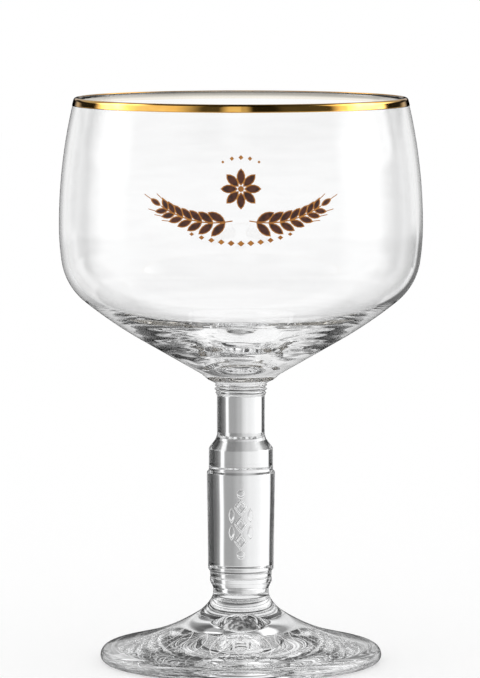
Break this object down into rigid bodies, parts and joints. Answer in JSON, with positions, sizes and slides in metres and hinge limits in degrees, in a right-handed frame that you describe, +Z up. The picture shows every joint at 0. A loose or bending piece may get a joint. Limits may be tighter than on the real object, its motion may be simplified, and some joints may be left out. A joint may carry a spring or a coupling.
{
  "type": "chalice beer glass",
  "caption": "Stemmed chalice beer glass of clear glass, with a wide round bowl, gold rim band, printed barley ornament, baluster stem and flared foot.",
  "frame": {"origin": "centre of the ring that the foot stands on", "axes": "+Z up along the axis of the glass, -Y towards the printed front, +X to the right seen from the front"},
  "size_m": [0.1058, 0.1059, 0.165],
  "materials": {
    "bowl_glass": "fire-polished clear soda-lime glass",
    "stem_glass": "pressed clear soda-lime glass, slightly wavy",
    "rim_gold": "burnished fired gold",
    "print_brown": "fired ceramic print, dark brown",
    "print_gold": "fired ceramic print, gold brown"
  },
  "bodies": {
    "root": {"bowl": "bowl_glass", "weld_collar": "stem_glass", "stem": "stem_glass", "foot": "stem_glass", "rim_band": "rim_gold", "emblem_brown": "print_brown", "emblem_gold": "print_gold"}
  },
  "joints": []
}
